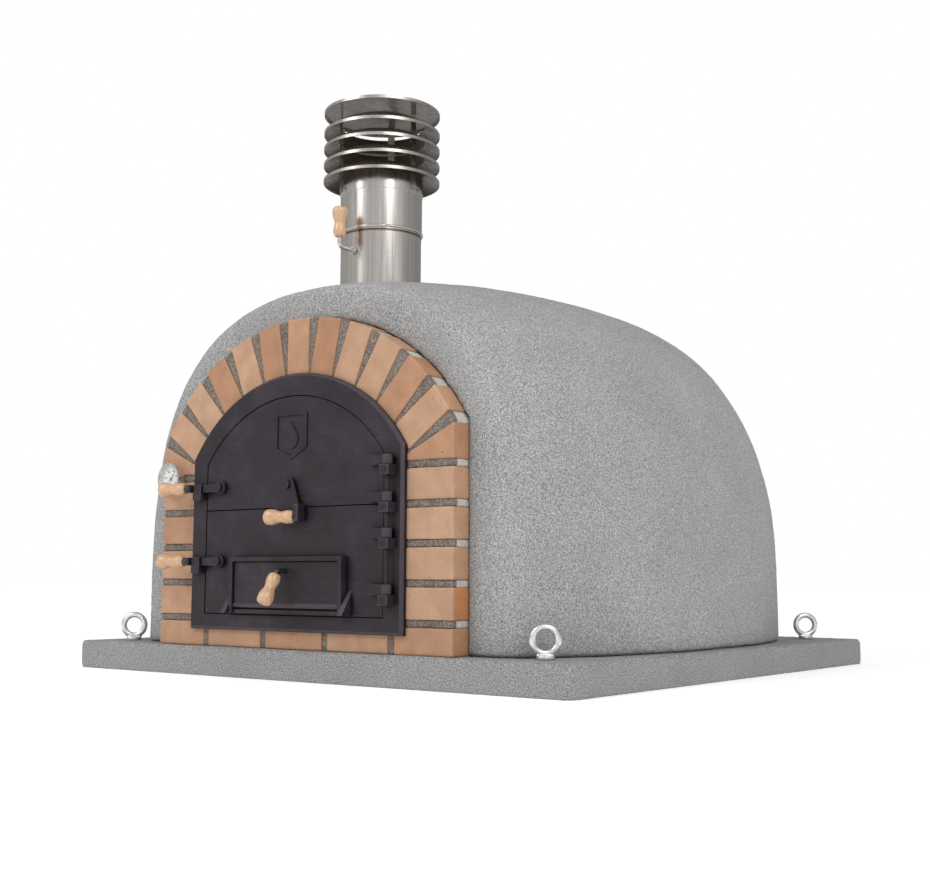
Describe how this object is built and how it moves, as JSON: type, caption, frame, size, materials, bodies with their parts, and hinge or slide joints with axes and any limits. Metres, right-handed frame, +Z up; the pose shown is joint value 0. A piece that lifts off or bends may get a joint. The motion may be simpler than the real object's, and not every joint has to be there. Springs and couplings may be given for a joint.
{
  "type": "wood fired pizza oven",
  "caption": "Domed wood fired oven on a square slab, with a brick-arched front, a split cast iron door with wooden handles, a draught flap, a thermometer and a short flue with a louvred cowl.",
  "frame": {"origin": "centre of the slab's underside", "axes": "+Z up, the door faces -Y, the door's hinges are at +X"},
  "size_m": [1.2, 1.272, 1.1251],
  "materials": {
    "concrete": "rough",
    "zinc_steel": "satin",
    "insulation_board": "matte",
    "firebrick": "matte",
    "refractory": "rough",
    "ceramic_blanket": "matte",
    "render": "rough",
    "brick": "matte",
    "mortar": "rough",
    "cast_iron": "satin",
    "bright_steel": "satin",
    "dark_steel": "satin",
    "turned_wood": "varnished",
    "chrome": "polished",
    "gauge_glass": "clear",
    "dial": "satin",
    "needle_black": "satin",
    "stainless": "brushed"
  },
  "bodies": {
    "oven": {"arch_bricks": "brick", "base_slab": "concrete", "cowl_cap": "stainless", "cowl_clips": "stainless", "cowl_collar": "stainless", "cowl_rings": "stainless", "cowl_rivets": "stainless", "cowl_straps": "stainless", "dome_shell": "render", "door_frame": "cast_iron", "flue_lower_pipe": "stainless", "flue_upper_pipe": "stainless", "hearth_insulation": "insulation_board", "hearth_tiles": "firebrick", "hinge_pin": "bright_steel", "insulation_blanket": "ceramic_blanket", "jamb_bricks": "brick", "latch_catches": "cast_iron", "lifting_eyes": "zinc_steel", "mortar": "mortar", "sill_bricks": "brick", "thermometer_bezel": "chrome", "thermometer_case": "chrome", "thermometer_dial": "dial", "thermometer_glass": "gauge_glass", "thermometer_stem": "stainless", "throat_arch": "refractory", "vault": "refractory"},
    "upper_door": {"upper_door": "cast_iron", "upper_latch_bolt": "bright_steel", "tie_plate_bolt": "bright_steel"},
    "lower_door": {"lower_door": "cast_iron", "lower_latch_bolt": "bright_steel", "flap_rim": "cast_iron", "flap_axle": "bright_steel"},
    "upper_latch": {"upper_latch_lever": "cast_iron", "upper_latch_ferrule": "dark_steel", "upper_latch_handle": "turned_wood"},
    "lower_latch": {"lower_latch_lever": "cast_iron", "lower_latch_ferrule": "dark_steel", "lower_latch_handle": "turned_wood"},
    "tie": {"tie_plate": "cast_iron", "tie_plate_handle": "turned_wood"},
    "flap": {"draught_flap": "cast_iron", "flap_handle_stub": "dark_steel", "flap_handle": "turned_wood"},
    "damper": {"damper_rod": "bright_steel", "damper_plate": "stainless", "damper_screws": "bright_steel", "damper_collars": "bright_steel", "damper_handle": "turned_wood"},
    "needle": {"thermometer_needle": "needle_black"}
  },
  "joints": [
    {"name": "upper_door_hinge", "type": "hinge", "parent": "oven", "child": "upper_door", "pos_m": [0.241, -0.612, 0.385], "axis": [0, 0, 1], "range_deg": [0, 120]},
    {"name": "lower_door_hinge", "type": "hinge", "parent": "oven", "child": "lower_door", "pos_m": [0.241, -0.612, 0.21], "axis": [0, 0, 1], "range_deg": [0, 120]},
    {"name": "upper_latch_pivot", "type": "hinge", "parent": "upper_door", "child": "upper_latch", "pos_m": [-0.18, -0.6065, 0.3525], "axis": [0, 1, 0], "range_deg": [0, 45]},
    {"name": "lower_latch_pivot", "type": "hinge", "parent": "lower_door", "child": "lower_latch", "pos_m": [-0.18, -0.6065, 0.214], "axis": [0, 1, 0], "range_deg": [0, 45]},
    {"name": "tie_plate_pivot", "type": "hinge", "parent": "upper_door", "child": "tie", "pos_m": [0, -0.6065, 0.351], "axis": [0, 1, 0], "range_deg": [0, 90]},
    {"name": "draught_flap_hinge", "type": "hinge", "parent": "lower_door", "child": "flap", "pos_m": [0, -0.608, 0.134], "axis": [1, 0, 0], "range_deg": [0, 70]},
    {"name": "damper_turn", "type": "hinge", "parent": "oven", "child": "damper", "pos_m": [0, -0.359, 0.817], "axis": [0, 1, 0], "range_deg": [0, 90]},
    {"name": "thermometer_needle_turn", "type": "hinge", "parent": "oven", "child": "needle", "pos_m": [-0.33, -0.6, 0.376], "axis": [0, 1, 0], "range_deg": [-170, 95], "stiffness_Nm_per_rad": 0.0005}
  ]
}
